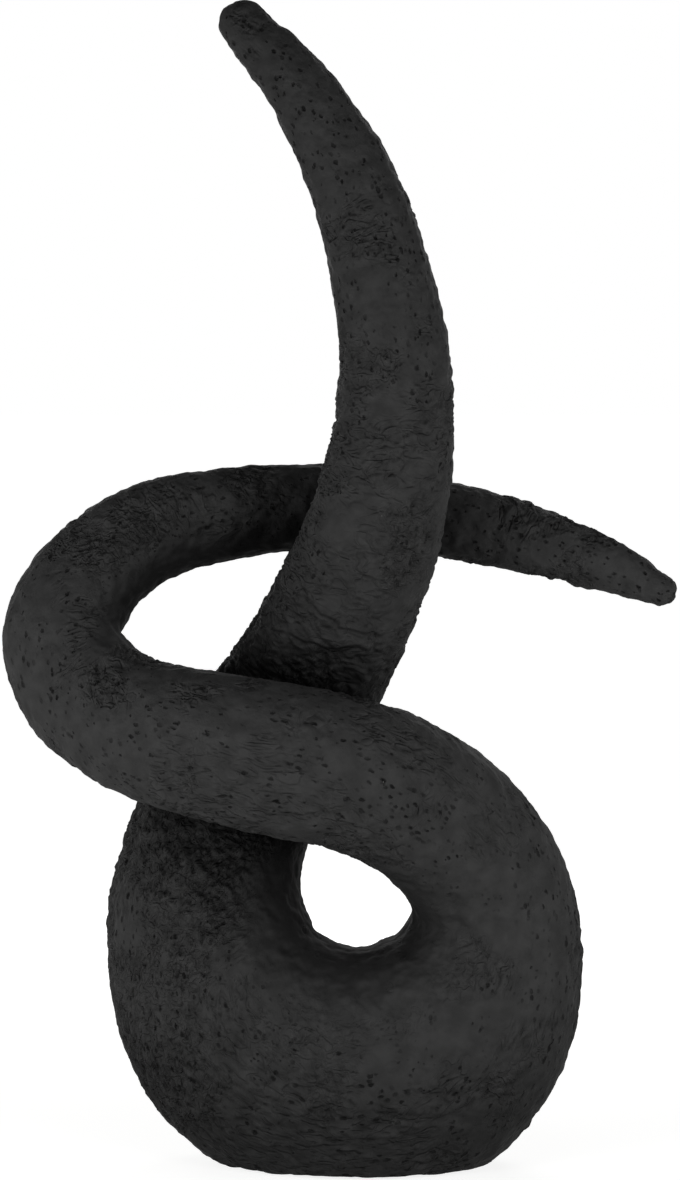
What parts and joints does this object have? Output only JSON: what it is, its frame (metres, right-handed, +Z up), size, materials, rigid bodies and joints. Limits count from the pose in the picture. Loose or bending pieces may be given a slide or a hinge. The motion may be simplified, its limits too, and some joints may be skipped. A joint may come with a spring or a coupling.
{
  "type": "knot sculpture",
  "caption": "Tabletop sculpture of a tapering strand tied in a loose knot, with a flat foot, a tall curved horn and a short horn to the side, in matt black cast resin.",
  "frame": {"origin": "on the ground, under the middle of the sculpture's bounding box", "axes": "+Z up; the front, where the broad band crosses, faces -Y; the short horn points to +X"},
  "size_m": [0.1932, 0.0942, 0.3309],
  "materials": {
    "resin": "matt charcoal black, cast with a pitted and wrinkled skin",
    "steel": "plain drawn rod",
    "felt": "pressed felt, self-adhesive"
  },
  "bodies": {
    "root": {"foot_loop": "resin", "tall_horn": "resin", "band_and_short_horn": "resin", "tall_horn_rod": "steel", "band_rod": "steel", "felt_pad_right_back": "felt", "felt_pad_left_back": "felt", "felt_pad_left_front": "felt", "felt_pad_right_front": "felt"}
  },
  "joints": []
}
